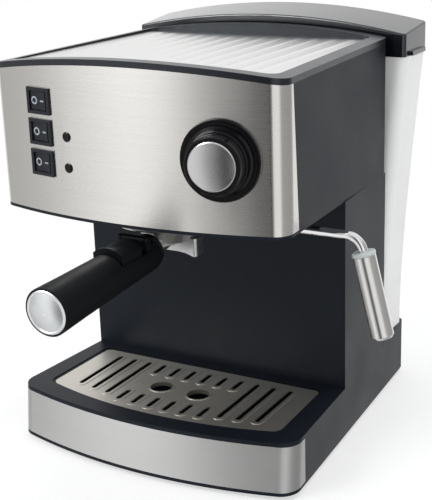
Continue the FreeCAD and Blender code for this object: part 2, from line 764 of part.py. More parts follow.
def bowl_outside(grow):
    """The filter holder's bowl as a plain solid, grown by a clearance."""
    z = Z_BOWL
    r = BOWL_R + grow
    profile = [(0, z), (r - BOWL_TAPER, z), (r, z + BOWL_TAPER), (r, Z_RIM), (0, Z_RIM)]
    return turned(profile, GROUP)


def bowl_hollow():
    z = Z_BOWL + 2.6
    r = BOWL_R - 2.8
    profile = [(0, z), (r - BOWL_TAPER + 1, z), (r, z + BOWL_TAPER - 1), (r, Z_RIM + 1), (0, Z_RIM + 1)]
    return turned(profile, GROUP)


def filter_holder():
    bowl = bowl_outside(0)
    lugs = []
    lug_z = Z_RIM - LUG_H - 2.5
    sector = tube(LUG_R, BOWL_R - 1, 0, 0, lug_z, lug_z + LUG_H)
    for side in (-1, 1):
        lugs.append(sector.common(box(*sorted((0, side * 50)), -11, 11, 0, 300)).translated(GROUP))
    neck = rod(NECK_R, handle_point(HANDLE_L + 20), handle_point(40))
    drain = post(3, 0, GROUP_Y, 0, Z_RIM)
    return joined([bowl, neck] + lugs).cut([bowl_hollow(), drain])


def handle_point(along):
    """A point on the handle's axis, measured inward from the outer end of the grip."""
    droop = math.radians(HANDLE_DROOP)
    tip = V(0, GROUP_Y - BOWL_R - HANDLE_L * math.cos(droop) + 1, Z_HANDLE - HANDLE_L * math.sin(droop))
    return tip + V(0, math.cos(droop), math.sin(droop)) * along


def handle_axis():
    return handle_point(1) - handle_point(0)


def handle():
    r = HANDLE_R
    length = HANDLE_L
    dome = length + HANDLE_DOME
    profile = [(0, dome), (0, 1.6), (r - 1.2, 1.6), (r - 1.2, 0), (r - 0.6, 0), (r, 0.8), (r, 4),
               (r - 0.7, 25), (r - 1.5, length - 48), (r - 2.2, length - 13), (r - 2.6, dome - 10),
               (r - 4, dome - 5.5), (r - 6.5, dome - 2.4), (r - 10, dome - 0.6)]
    grip = turned(profile, handle_point(0), handle_axis()).cut(bowl_outside(FIT))
    return grip.cut(rod(NECK_R + PIN_FIT, handle_point(39.5), handle_point(dome + 20))).cut(clip_slot())


def handle_cap():
    r = HANDLE_R - 1.2 - FIT
    profile = [(0, -1.6), (r, -1.6), (r, -0.2), (r - 0.7, 0.4), (r - 1.5, 0.4), (r - 1.9, 0), (0, 0)]
    cap = joined([turned(profile), dome(r - 1.9, CAP_CROWN)])
    place = FreeCAD.Placement(handle_point(0), FreeCAD.Rotation(UP, handle_axis() * -1))
    return cap.transformed(place.toMatrix())


def clip_pivot():
    return handle_point(HANDLE_L - 15) + V(0, 0, HANDLE_R - 2)


def saddle(start, end, inner, outer, half):
    """Part of a sleeve over the top of the grip, between two distances along it."""
    sleeve = rod(outer, handle_point(start), handle_point(end))
    sleeve = sleeve.cut(rod(inner, handle_point(0), handle_point(HANDLE_L)))
    return sleeve.common(box(-half, half, -250, 0, handle_point(start).z + 4.5, Z_HEAD))


def clip_slot():
    """Seat in the top of the grip, clear of the clip."""
    inner = HANDLE_R - CLIP_T - 0.8
    wide = saddle(HANDLE_L - 46, HANDLE_L - 17.6, inner, HANDLE_R + 4, CLIP_HALF + 0.6)
    narrow = saddle(HANDLE_L - 20, HANDLE_L - 6, inner, HANDLE_R + 4, 9)
    pocket = rod(2.6 + RUN, clip_pivot() - RIGHT * 9, clip_pivot() + RIGHT * 9)
    return joined([wide, narrow, pocket])


def filter_clip():
    inner = HANDLE_R - CLIP_T
    reach = HANDLE_L - 44
    wide = saddle(reach, HANDLE_L - 23, inner, HANDLE_R + 0.4, CLIP_HALF)
    lip = saddle(reach, reach + 2.4, inner + 1, HANDLE_R + 1.8, CLIP_HALF)
    strap = saddle(HANDLE_L - 24, HANDLE_L - 15, inner, HANDLE_R - 1.4, 8.6)
    knuckle = rod(2.6, clip_pivot() - RIGHT * 8.6, clip_pivot() + RIGHT * 8.6)
    clip = joined([wide, lip, strap, knuckle])
    return clip.cut(rod(1.2 + PIN_FIT, clip_pivot() - RIGHT * 10, clip_pivot() + RIGHT * 10))


def clip_pin():
    pivot = clip_pivot()
    pin = rod(1.2, pivot - RIGHT * 11, pivot + RIGHT * 11)
    ears = []
    for x in (-11, 9.2):
        cheek = rod(2.4, pivot + RIGHT * x, pivot + RIGHT * (x + 1.8))
        ears.append(joined([cheek, box(x, x + 1.8, pivot.y - 2.4, pivot.y + 2.4, pivot.z - 9, pivot.z)]))
    return joined([pin] + ears).cut(handle())


def filter_basket():
    r = BOWL_R - 3.4
    low = r - BOWL_TAPER + 0.5
    z = Z_BOWL + 4.2
    knee = z + BOWL_TAPER - 2
    profile = [(0, z), (low, z), (r, knee), (r, Z_RIM), (BOWL_R - 0.6, Z_RIM), (BOWL_R - 0.6, Z_RIM + 0.8),
               (r - 0.7, Z_RIM + 0.8), (r - 0.7, knee + 0.3), (low - 0.3, z + 0.7), (0, z + 0.7)]
    basket = turned(profile, GROUP)
    cuts = []
    for count, reach in ((1, 0), (6, 4), (10, 7.5), (14, 11)):
        for i in range(count):
            angle = 2 * math.pi * i / count
            cuts.append(post(0.7, reach * math.cos(angle), GROUP_Y + reach * math.sin(angle), z - 1, z + 2))
    return basket.cut(cuts)


def spout():
    """Twin spout: a flat body that fans out to an open nozzle at each end."""
    top = Z_BOWL
    low = top - SPOUT_H
    right = [(8, low + 2.6), (SPOUT_X - 8, low + 2), (SPOUT_X - 1.8, low), (SPOUT_X, low + 0.3),
             (SPOUT_X, top + 2.4), (SPOUT_X - 4, top + 2.4), (SPOUT_X - 7, top)]
    points = right + [(-x, z) for x, z in reversed(right)]
    body = slab(points, "y", GROUP_Y - SPOUT_W / 2, SPOUT_W)
    upright = [e for e in body.Edges if abs(e.Vertexes[0].X) > SPOUT_X - 0.1 and e.BoundBox.ZLength > 8]
    body = body.makeFillet(2, upright)
    ends = [s * (SPOUT_X - 6) for s in (-1, 1)]
    cuts = [post(3.4, x, GROUP_Y, low - 1, top - 4) for x in ends]
    cuts.append(rod(1.8, V(ends[0], GROUP_Y, top - 4.5), V(ends[1], GROUP_Y, top - 4.5)))
    cuts.append(post(3, 0, GROUP_Y, top - 4.5, top + 1))
    return body.cut(cuts + [bowl_outside(FIT)])


def sleeve_axis():
    tilt = math.radians(WAND_TILT)
    return V(math.sin(tilt), 0, -math.cos(tilt))


def wand_point(along):
    """A point on the slanted part of the wand, measured down from its elbow."""
    return V(ELBOW_X, WAND_Y, Z_ARM) + sleeve_axis() * along


def collar_start():
    return BEND_R * math.tan(math.radians(90 - WAND_TILT) / 2) + 0.6


def wand_socket():
    bore = PIPE_R + PIN_FIT
    z = Z_FLOOR
    profile = [(bore, z), (12, z), (12, z + 2), (9, z + 2), (9, z + 16), (0, z + 16), (0, z + 9),
               (bore + 2.3, z + 9),
               (bore + 2.3, z + 4.5), (bore, z + 4.5)]
    socket = turned(profile, V(WAND_X, WAND_Y, 0))
    return socket.cut(post(2, WAND_X, WAND_Y, z + 8, z + 17))


def wand_pipe():
    top = Z_FLOOR + 8.5
    start = V(WAND_X, WAND_Y, top)
    below = [V(WAND_X, WAND_Y, Z_ARM), V(ELBOW_X, WAND_Y, Z_ARM)]
    end = wand_point(collar_start() + COLLAR_L + 22)
    turn = [start, below[0], below[0] + RIGHT * 20]
    swan = [below[0] + RIGHT * 20, below[1], end]
    bent = [swept(turn, 7.5, PIPE_R), swept(swan, BEND_R, PIPE_R)]
    flange = post(PIPE_R + 2, WAND_X, WAND_Y, Z_FLOOR + 4.8, top)
    return joined(bent + [flange])


def wand_collar():
    start = collar_start()
    profile = [(PIPE_R, 0), (SLEEVE_R - 0.2, 0), (SLEEVE_R + 0.3, 0.6), (SLEEVE_R + 0.3, COLLAR_L),
               (PIPE_R, COLLAR_L)]
    return turned(profile, wand_point(start), sleeve_axis())


def wand_tip():
    start = collar_start() + COLLAR_L + 22
    profile = [(0, 0), (PIPE_R, 0), (PIPE_R, 6), (1.6, 9), (0, 9)]
    return turned(profile, wand_point(start), sleeve_axis())


def frother_sleeve():
    start = collar_start() + COLLAR_L
    r = SLEEVE_R
    length = SLEEVE_L
    profile = [(PIPE_R + 0.35, 0.05), (r - 0.3, 0.05), (r, 0.4), (r, length - 1.6), (r - 1.2, length),
               (r - 3.2, length),
               (r - 1.6, length - 2.4), (r - 1.6, 3), (PIPE_R + 0.35, 3)]
    sleeve = turned(profile, wand_point(start), sleeve_axis())
    return sleeve.cut(rod(1.1, wand_point(start + 12), wand_point(start + 12) + BACK * 20))


def pump_body():
    z = Z_PUMP
    end = Z_PUMP_END
    r = PUMP_R
    profile = [(0, z), (4, z), (4, z + 8), (r, z + 8), (r, end - 16), (r - 3, end - 14), (r - 3, end - 8),
               (4, end - 8), (4, end), (0, end)]
    return turned(profile, V(PUMP_X, PUMP_Y, 0)).cut(post(1.6, PUMP_X, PUMP_Y, z - 1, end + 1))


def pump_coil():
    """Coil block with the iron yoke around it."""
    x = PUMP_X
    y = PUMP_Y
    half = COIL_W / 2
    yoke = box(x - half - 3, x + half + 3, y - half + 6, y + half - 6, Z_COIL - 3, Z_COIL + COIL_H + 3)
    block = box(x - half, x + half, y - half, y + half, Z_COIL, Z_COIL + COIL_H)
    return joined([yoke, block]).cut(post(PUMP_R + PIN_FIT, x, y, 0, Z_HEAD))


def pump_mounts():
    y = PUMP_Y + COIL_W / 2
    points = [(PUMP_X + dx, z) for dx in (-14, 14) for z in (Z_COIL + 12, Z_COIL + COIL_H - 12)]
    return group([rod(4, V(x, y, z), V(x, y + 6, z)) for x, z in points])


def pump_bracket():
    x0 = PUMP_X - 26
    x1 = PUMP_X + 26
    y = PUMP_Y + COIL_W / 2 + 6
    foot = box(x0, x1, PUMP_Y - 20, y + 2, Z_INNER, Z_INNER + 2)
    bracket = joined([foot, box(x0, x1, y, y + 2, Z_INNER, Z_COIL + COIL_H + 6)])
    return bracket.cut(box(x0 - 1, PUMP_X - 8, y - 1, y + 3, Z_INNER + 1, Z_INNER + 16))


def tank_seat():
    z = Z_SHELF
    r = OUTLET_R
    profile = [(2, z - 26), (4, z - 26), (4, z - 15), (r + 4, z - 15), (r + 4, z), (r + RUN, z),
               (r + RUN, z - 12.5),
               (2, z - 12.5)]
    seat = turned(profile, V(0, OUTLET_Y, 0))
    flange = tube(r + 9, r + 4, 0, OUTLET_Y, z - WALL - 2, z - WALL)
    pin = joined([post(1.1, 0, OUTLET_Y, z - 14, z - 5),
                  box(-3, 3, OUTLET_Y - 0.7, OUTLET_Y + 0.7, z - 14, z - 12.5)])
    return joined([seat, flange, pin])


def tank_seal():
    return tube(OUTLET_R, OUTLET_R - 2.6, 0, OUTLET_Y, Z_SHELF - 12.5, Z_SHELF - 10.4)


def tank_section(z, half, inset, corner=TANK_CORNER):
    """Rounded rectangle across the tank at one height."""
    r = corner - inset
    half = half - inset
    y0 = TANK_FRONT + inset
    y1 = TANK_BACK - inset
    d = r * (1 - math.sqrt(0.5))
    corners = [(half, y0, -1, 1), (half, y1, -1, -1), (-half, y1, 1, -1), (-half, y0, 1, 1)]
    stops = []
    for x, y, sx, sy in corners:
        pair = [V(x + sx * r, y, z), V(x + sx * d, y + sy * d, z), V(x, y + sy * r, z)]
        stops.append(pair if sx * sy < 0 else pair[::-1])
    edges = []
    for i, (a, m, b) in enumerate(stops):
        edges.append(Part.Arc(a, m, b).toShape())
        edges.append(Part.makeLine(b, stops[(i + 1) % 4][0]))
    return Part.Wire(edges)


def tank_block(inset, lift):
    wires = [tank_section(Z_SHELF + TANK_H * f, half, inset) for f, half in TANK_FLARE]
    block = Part.makeLoft(wires, True, False)
    return block.common(box(-150, 150, 0, 200, Z_SHELF + lift, Z_TANK))


def water_tank():
    shell = tank_block(0, 0).cut(tank_block(TANK_T, TANK_T))
    return shell.cut(post(OUTLET_R - FIT, 0, OUTLET_Y, Z_SHELF - 1, Z_SHELF + TANK_T + 1))


def tank_outlet():
    z = Z_SHELF
    r = OUTLET_R - 2 * FIT
    profile = [(r - 2.4, z - 10), (r, z - 10), (r, z + TANK_T), (r + 3, z + TANK_T), (r + 3, z + TANK_T + 2),
               (r - 1.2, z + TANK_T + 2), (r - 1.2, z - 6), (r - 2.4, z - 6)]
    body = turned(profile, V(0, OUTLET_Y, 0))
    strainer = [box(-r, r, OUTLET_Y - 0.6, OUTLET_Y + 0.6, z + TANK_T + 0.6, z + TANK_T + 2)]
    return joined([body] + strainer)


def tank_poppet():
    z = Z_SHELF
    r = OUTLET_R - 2 * FIT - 1.2 - RUN
    profile = [(0, z - 4.9), (r, z - 4.9), (r, z - 2.9), (1.2, z - 2.9), (1.2, z + 1.5), (0, z + 1.5)]
    return turned(profile, V(0, OUTLET_Y, 0))


def tank_lid():
    z0 = Z_TANK
    half = TANK_FLARE[-1][1] - 0.6
    wire = tank_section(z0, half, 0.0, LID_CORNER)
    block = Part.Face(wire).extrude(UP * 60)
    rise = math.degrees(math.atan2(LID_RISE, TANK_BACK - TANK_FRONT))
    arch = Part.makeCylinder(LID_BOW, 400, V(0, TANK_FRONT - 200, z0 + LID_CROWN - LID_BOW), BACK)
    arch.rotate(V(0, TANK_FRONT, z0 + LID_CROWN), RIGHT, rise)
    arch = arch.transformed(FreeCAD.Matrix(), True)
    inner = arch.translated(V(0, 0, -2.2))
    cavity = Part.Face(tank_section(z0, half, 2.2, LID_CORNER)).extrude(UP * 60).common(inner)
    skirt = Part.Face(tank_section(z0 - 5, half - 0.6, TANK_T + RUN + 0.9)).extrude(UP * 7)
    skirt = skirt.cut(Part.Face(tank_section(z0 - 5, half - 0.6, TANK_T + RUN + 2.5)).extrude(UP * 7))
    lip = [box(*sorted((s * (half - 1), s * (half + 2.4))), TANK_FRONT + 10, TANK_BACK - 8, z0,
               z0 + 3) for s in (-1, 1)]
    ledge = Part.Face(tank_section(z0, half, 1.0)).extrude(UP * 2)
    ledge = ledge.cut(Part.Face(tank_section(z0, half - 0.6, TANK_T + RUN + 2.5)).extrude(UP * 2))
    crust = block.common(arch)
    top = [e for e in crust.Edges if e.BoundBox.ZMin > z0 + 1]
    crust = crust.makeFillet(LID_EDGE, top)
    return joined([crust.cut(cavity), ledge, skirt] + lip)


def suction_hose():
    z = Z_INNER + 7
    points = [V(0, OUTLET_Y, Z_SHELF - 26), V(0, OUTLET_Y, z), V(PUMP_X, PUMP_Y, z),
              V(PUMP_X, PUMP_Y, Z_PUMP)]
    return pipe(points, 4.5, 4, 2.4)


def pressure_pipe():
    z = Z_BOILER + 14
    points = [V(PUMP_X, PUMP_Y, Z_PUMP_END), V(PUMP_X, PUMP_Y, z), V(0, PUMP_Y, z),
              V(0, GROUP_Y + BOILER_R, z)]
    return pipe(points, 10, 3, 1.8)


def steam_pipe():
    port = knob_point(-30)
    z = Z_BOILER + 59
    points = [V(0, GROUP_Y + 22, z), V(0, GROUP_Y + 22, z + 14), V(port.x, port.y, z + 14),
              V(port.x, port.y, Z_KNOB + 15)]
    return pipe(points, 7, 3, 1.8)


def wand_feed():
    port = knob_point(-30)
    z = Z_FLOOR + 16
    middle = (z + Z_KNOB - 15) / 2
    points = [V(port.x, port.y, Z_KNOB - 15), V(port.x, port.y, middle), V(WAND_X, WAND_Y, middle),
              V(WAND_X, WAND_Y, z)]
    return pipe(points, 5, 3, 1.8)


NODES = {
    "lower_housing": lower_housing, "base_trim": base_trim, "base_plate": base_plate, "feet": feet,
    "column_shell": column_shell, "case_screws": case_screws, "back_cover": back_cover,
    "cover_screws": cover_screws,
    "cord_gland": cord_gland, "drip_tray": drip_tray, "drip_grid": drip_grid, "head_shell": head_shell,
    "front_panel": front_panel, "top_frame": top_frame, "cup_plate": cup_plate,
    "switch_frames": switch_frames,
    "lamp_lenses": lamp_lenses, "knob_bezel": knob_bezel, "steam_knob": steam_knob, "knob_cap": knob_cap,
    "knob_spindle": knob_spindle, "steam_valve": steam_valve, "group_ring": group_ring,
    "group_gasket": group_gasket, "shower_screen": shower_screen, "shower_screw": shower_screw,
    "boiler_base": boiler_base, "boiler_top": boiler_top, "boiler_screws": boiler_screws,
    "heating_element": heating_element, "thermostats": thermostats, "filter_holder": filter_holder,
    "spout": spout, "handle": handle, "handle_cap": handle_cap, "filter_clip": filter_clip,
    "clip_pin": clip_pin,
    "filter_basket": filter_basket, "wand_socket": wand_socket, "wand_pipe": wand_pipe,
    "wand_collar": wand_collar,
    "wand_tip": wand_tip, "frother_sleeve": frother_sleeve, "pump_body": pump_body, "pump_coil": pump_coil,
    "pump_mounts": pump_mounts, "pump_bracket": pump_bracket, "tank_seat": tank_seat,
    "tank_seal": tank_seal, "water_tank": water_tank, "tank_outlet": tank_outlet, "tank_poppet": tank_poppet,
    "tank_lid": tank_lid, "suction_hose": suction_hose, "pressure_pipe": pressure_pipe,
    "steam_pipe": steam_pipe,
    "wand_feed": wand_feed,
}

os.makedirs("parts", exist_ok=True)
for name, make in NODES.items():
    make().exportStep("parts/" + name + ".step")
for number in range(3):
    rocker(number).exportStep("parts/rocker_" + str(3 - number) + ".step")
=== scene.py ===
import bpy
import bmesh
import json
import math
from mathutils import Matrix, Vector


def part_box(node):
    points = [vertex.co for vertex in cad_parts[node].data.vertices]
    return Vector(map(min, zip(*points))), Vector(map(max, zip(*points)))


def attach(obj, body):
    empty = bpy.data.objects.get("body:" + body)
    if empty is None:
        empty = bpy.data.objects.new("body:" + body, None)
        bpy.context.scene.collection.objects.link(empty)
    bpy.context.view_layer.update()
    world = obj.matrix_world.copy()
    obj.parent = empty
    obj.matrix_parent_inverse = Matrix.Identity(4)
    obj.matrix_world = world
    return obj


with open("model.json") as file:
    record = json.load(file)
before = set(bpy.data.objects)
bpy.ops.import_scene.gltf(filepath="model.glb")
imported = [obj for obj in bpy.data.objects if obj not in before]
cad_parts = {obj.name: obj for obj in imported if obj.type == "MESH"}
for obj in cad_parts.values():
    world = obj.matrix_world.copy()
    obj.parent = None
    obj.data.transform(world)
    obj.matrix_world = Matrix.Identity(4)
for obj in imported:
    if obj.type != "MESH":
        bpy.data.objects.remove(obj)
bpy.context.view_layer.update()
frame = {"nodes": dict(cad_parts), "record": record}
nodes = frame["nodes"]

# Camera: the photograph's place, aim and lens, for a frame of 432 by 500.
CAMERA_AT = Vector((0.398313, -0.684681, 0.377364))
CAMERA_RIGHT = Vector((0.86714552, 0.49696316, -0.0329585))
CAMERA_UP = Vector((-0.1249306, 0.28109421, 0.95151374))
CAMERA_BACK = Vector((0.48213172, -0.82098335, 0.30583549))
LENS = 82.98
SENSOR_W = 36.0

# The part of a noise's 0 to 1 that holds nearly all its values.
NOISE_LOW, NOISE_HIGH = 0.3, 0.7


class Look:
    """One procedural material: a Principled shader and the nodes that feed it."""

    def __init__(self, name, colour, rough, metal=0.0, **sockets):
        self.mat = bpy.data.materials.new(name)
        self.mat.use_nodes = True
        self.tree = self.mat.node_tree
        self.shader = self.tree.nodes["Principled BSDF"]
        self.colour = colour
        self.set("Base Color", (*colour, 1))
        self.set("Roughness", rough)
        self.set("Metallic", metal)
        for key, value in sockets.items():
            self.set(key.replace("_", " "), value)
        self.coords = self.node("ShaderNodeTexCoord").outputs["Object"]
        self.normal = None

    def set(self, socket, value):
        self.shader.inputs[socket].default_value = value

    def node(self, kind, **settings):
        made = self.tree.nodes.new(kind)
        for key, value in settings.items():
            setattr(made, key, value)
        return made

    def link(self, source, target):
        self.tree.links.new(source, target)

    def stretched(self, scale):
        mapping = self.node("ShaderNodeMapping")
        mapping.inputs["Scale"].default_value = scale
        self.link(self.coords, mapping.inputs["Vector"])
        return mapping.outputs["Vector"]

    def noise(self, scale, detail=2.0, rough=0.5):
        """Noise from 0 to 1; scale is one number, or one for each axis, in features a metre."""
        tex = self.node("ShaderNodeTexNoise")
        three = scale if isinstance(scale, tuple) else (scale,) * 3
        self.link(self.stretched(three), tex.inputs["Vector"])
        tex.inputs["Scale"].default_value = 1.0
        tex.inputs["Detail"].default_value = detail
        tex.inputs["Roughness"].default_value = rough
        return tex.outputs["Fac"]

    def ranged(self, value, low, high, start=NOISE_LOW, stop=NOISE_HIGH):
        """Spreads the values from start to stop over low to high."""
        span = self.node("ShaderNodeMapRange")
        self.link(value, span.inputs["Value"])
        for socket, number in zip(("From Min", "From Max", "To Min", "To Max"), (start, stop, low, high)):
            span.inputs[socket].default_value = number
        return span.outputs["Result"]

    def math(self, operation, a, b):
        """One arithmetic step; a and b are sockets or numbers."""
        step = self.node("ShaderNodeMath", operation=operation)
        for socket, value in zip(step.inputs, (a, b)):
            if isinstance(value, (int, float)):
                socket.default_value = value
            else:
                self.link(value, socket)
        return step.outputs["Value"]

    def tinted(self, value, low, high):
        """Colour from low to high times the base colour, by a noise."""
        ramp = self.node("ShaderNodeValToRGB")
        first, last = ramp.color_ramp.elements
        first.position, last.position = NOISE_LOW, NOISE_HIGH
        first.color = (*(min(1.0, c * low) for c in self.colour), 1)
        last.color = (*(min(1.0, c * high) for c in self.colour), 1)
        self.link(value, ramp.inputs["Fac"])
        self.link(ramp.outputs["Color"], self.shader.inputs["Base Color"])

    def roughened(self, value, low, high):
        self.link(self.ranged(value, low, high), self.shader.inputs["Roughness"])

    def bump(self, value, depth, strength=1.0):
        """Surface relief, depth in metres."""
        made = self.node("ShaderNodeBump")
        made.inputs["Distance"].default_value = depth
        made.inputs["Strength"].default_value = strength
        self.link(value, made.inputs["Height"])
        if self.normal:
            self.link(self.normal, made.inputs["Normal"])
        self.normal = made.outputs["Normal"]
        self.link(self.normal, self.shader.inputs["Normal"])

    def spread_along(self, axis):
        """Draws reflections out along one axis, across the scratches."""
        tangent = self.node("ShaderNodeCombineXYZ")
        for socket, value in zip(tangent.inputs, axis):
            socket.default_value = value
        self.link(tangent.outputs["Vector"], self.shader.inputs["Tangent"])


def blended(look, a, share_a, b, share_b):
    return look.math("ADD", look.math("MULTIPLY", a, share_a), look.math("MULTIPLY", b, share_b))


SHEEN_SCALE = 22.0


def moulded(name, colour, rough, grain=1500, depth=0.00004, **sockets):
    """Moulded plastic: fine spark-eroded grain, slow change of sheen and slight rub marks."""
    look = Look(name, colour, rough, **sockets)
    fine = look.noise(grain, 3.0)
    slow = look.noise(SHEEN_SCALE, 3.0)
    look.bump(fine, depth, 0.5)
    look.roughened(blended(look, fine, 0.5, slow, 0.5), rough * 0.82, rough * 1.18)
    look.tinted(slow, 0.86, 1.14)
    return look.mat


# Brushing: scratches a metre along and across the grain, and the axis across each direction of brushing.
FINE_ALONG, FINE_ACROSS = 14.0, 3200.0
BROAD_ALONG, BROAD_ACROSS = 5.0, 620.0
BRUSH_SPREAD = 0.025
ACROSS = {"X": (0, 1, 0), "Y": (1, 0, 0), "XY": (0, 0, 1)}


def brushed(name, colour, rough, along, anisotropic=0.6, depth=0.000002):
    """Sheet metal brushed along one direction: long fine scratches, with a few broader streaks."""
    look = Look(name, colour, rough, 1.0, Anisotropic=anisotropic)
    fine = look.noise(tuple(FINE_ALONG if axis in along else FINE_ACROSS for axis in "XYZ"), 2.0)
    broad = look.noise(tuple(BROAD_ALONG if axis in along else BROAD_ACROSS for axis in "XYZ"), 3.0)
    mixed = blended(look, fine, 0.88, broad, 0.12)
    look.tinted(mixed, 1.0 - BRUSH_SPREAD, 1.0 + BRUSH_SPREAD)
    look.roughened(mixed, rough * 0.96, rough * 1.04)
    look.bump(fine, depth, 0.12)
    look.spread_along(ACROSS[along])
    return look.mat


def polished(name, colour, rough):
    """Plated or polished metal, with soft hazy patches and tiny pits."""
    look = Look(name, colour, rough, 1.0)
    haze = look.noise(55.0, 4.0)
    look.roughened(haze, rough * 0.6, rough * 1.5)
    look.tinted(haze, 0.94, 1.05)
    look.bump(look.noise(900.0), 0.000003, 0.3)
    return look.mat


LATHE_SCALE = 2600.0


def spun(name, colour, rough, node, normal):
    """Metal turned on a lathe: fine rings about the node's own axis."""
    look = Look(name, colour, rough, 1.0)
    shift = look.node("ShaderNodeVectorMath", operation="SUBTRACT")
    shift.inputs[1].default_value = middle(node)
    look.link(look.coords, shift.inputs[0])
    cross = look.node("ShaderNodeVectorMath", operation="CROSS_PRODUCT")
    cross.inputs[1].default_value = normal
    look.link(shift.outputs["Vector"], cross.inputs[0])
    length = look.node("ShaderNodeVectorMath", operation="LENGTH")
    look.link(cross.outputs["Vector"], length.inputs[0])
    ring = look.node("ShaderNodeTexNoise", noise_dimensions="1D")
    ring.inputs["Scale"].default_value = LATHE_SCALE
    ring.inputs["Detail"].default_value = 3.0
    look.link(length.outputs["Value"], ring.inputs["W"])
    fac = ring.outputs["Fac"]
    look.tinted(fac, 0.95, 1.04)
    look.roughened(fac, rough * 0.85, rough * 1.15)
    look.bump(fac, 0.000002, 0.4)
    return look.mat


def cast(name, colour, rough, depth=0.00008):
    """Cast metal: pebbled skin and uneven sheen."""
    look = Look(name, colour, rough, 1.0)
    skin = look.noise(700.0, 4.0, 0.6)
    look.bump(skin, depth, 0.6)
    look.roughened(skin, rough * 0.8, rough * 1.2)
    look.tinted(look.noise(40.0, 3.0), 0.85, 1.1)
    return look.mat


def cloudy(name, colour, rough):
    """Natural polymer of the water tank: milky, with light passing through its walls."""
    look = Look(name, colour, rough, IOR=1.49, Specular_IOR_Level=0.25, Subsurface_Weight=0.5,
                Subsurface_Scale=1.0, Subsurface_Radius=(0.006, 0.006, 0.0055))
    haze = look.noise(14.0, 3.0)
    look.tinted(haze, 0.96, 1.03)
    look.roughened(look.noise(60.0, 3.0), rough * 0.85, rough * 1.15)
    return look.mat


# The steel front is part of an upright cylinder; its outward direction turns with the place across it.
PANEL_BOW = 0.362


def panel_out(x):
    return Vector((x / PANEL_BOW, -math.sqrt(1 - (x / PANEL_BOW) ** 2), 0.0))


def middle(node):
    low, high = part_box(node)
    return (Vector(low) + Vector(high)) / 2


LOOKS = {
    "case_black": moulded("case_black", (0.0060, 0.0072, 0.0110), 0.3, Specular_IOR_Level=0.55,
                          Specular_Tint=(0.9, 0.95, 1.0, 1.0)),
    "lid_black": moulded("lid_black", (0.0030, 0.0038, 0.0060), 0.2, 1500, 0.00002, Specular_IOR_Level=0.6,
                         Specular_Tint=(0.95, 0.98, 1.0, 1.0), Coat_Weight=0.5, Coat_Roughness=0.12),
    "matt_black": moulded("matt_black", (0.0066, 0.0084, 0.0128), 0.44, Specular_IOR_Level=0.2,
                          Specular_Tint=(0.86, 0.93, 1.0, 1.0)),
    "gloss_black": moulded("gloss_black", (0.003, 0.003, 0.004), 0.2, 900, 0.00001, Specular_IOR_Level=0.2),
    "switch_black": moulded("switch_black", (0.009, 0.0105, 0.0145), 0.4, 2200, 0.00003,
                            Specular_IOR_Level=0.3),
    "handle_black": moulded("handle_black", (0.0040, 0.0050, 0.0062), 0.5, 1800, 0.00003,
                            Specular_IOR_Level=0.12),
    "grey_plastic": moulded("grey_plastic", (0.52, 0.55, 0.55), 0.4, 800, 0.00002, Transmission_Weight=0.2),
    "rubber": moulded("rubber", (0.02, 0.02, 0.02), 0.8, 700, 0.0001),
    "lens": moulded("lens", (0.003, 0.002, 0.002), 0.2, 500, 0.00001, Specular_IOR_Level=0.25),
    "brushed_steel": brushed("brushed_steel", (0.72, 0.705, 0.68), 0.27, "XY", 0.8),
    "trim_steel": brushed("trim_steel", (0.545, 0.545, 0.54), 0.52, "XY", 0.6),
    "plate_steel": brushed("plate_steel", (0.76, 0.76, 0.755), 0.32, "Y", 0.4),
    "grid_steel": brushed("grid_steel", (0.62, 0.60, 0.55), 0.45, "X", 0.3),
    "chrome": polished("chrome", (0.82, 0.82, 0.83), 0.09),
    "satin_alloy": cast("satin_alloy", (0.60, 0.60, 0.60), 0.34, 0.00002),
    "cap_silver": polished("cap_silver", (0.82, 0.84, 0.85), 0.36),
    "knob_steel": spun("knob_steel", (0.60, 0.60, 0.60), 0.24, "knob_cap", panel_out(middle("knob_cap").x)),
    "print_grey": moulded("print_grey", (0.30, 0.33, 0.36), 0.5, 2600, 0.00001),
    "sleeve_steel": brushed("sleeve_steel", (0.74, 0.735, 0.72), 0.3, "XY", depth=0.0000004),
    "cast_alloy": cast("cast_alloy", (0.58, 0.58, 0.57), 0.36),
    "brass": polished("brass", (0.70, 0.53, 0.26), 0.26),
    "zinc_steel": polished("zinc_steel", (0.56, 0.57, 0.58), 0.36),
    "copper": polished("copper", (0.72, 0.42, 0.28), 0.28),
    "tank_plastic": cloudy("tank_plastic", (0.80, 0.80, 0.785), 0.36),
}

FINISH = {
    "case_black": "top_frame",
    "lid_black": "tank_lid",
    "matt_black": "head_shell lower_housing column_shell back_cover base_plate drip_tray tank_seat pump_body",
    "switch_black": "switch_frames rocker_1 rocker_2 rocker_3",
    "gloss_black": "steam_knob knob_bezel",
    "handle_black": "handle filter_clip clip_pin",
    "grey_plastic": "wand_collar wand_socket",
    "rubber": "feet cord_gland group_gasket pump_mounts tank_seal suction_hose",
    "lens": "lamp_lenses",
    "brushed_steel": "front_panel",
    "trim_steel": "base_trim",
    "plate_steel": "cup_plate",
    "grid_steel": "drip_grid",
    "chrome": "wand_pipe wand_tip",
    "satin_alloy": "spout filter_holder",
    "cap_silver": "handle_cap",
    "knob_steel": "knob_cap",
    "sleeve_steel": "frother_sleeve filter_basket shower_screen",
    "cast_alloy": "group_ring boiler_base boiler_top",
    "brass": "steam_valve knob_spindle",
    "zinc_steel": "case_screws cover_screws shower_screw boiler_screws pump_bracket "
                  "heating_element thermostats",
    "copper": "pump_coil pressure_pipe steam_pipe wand_feed",
    "tank_plastic": "water_tank tank_outlet tank_poppet",
}


def paint_nodes():
    for look, names in FINISH.items():
        for name in names.split():
            mesh = nodes[name].data
            mesh.materials.clear()
            mesh.materials.append(LOOKS[look])


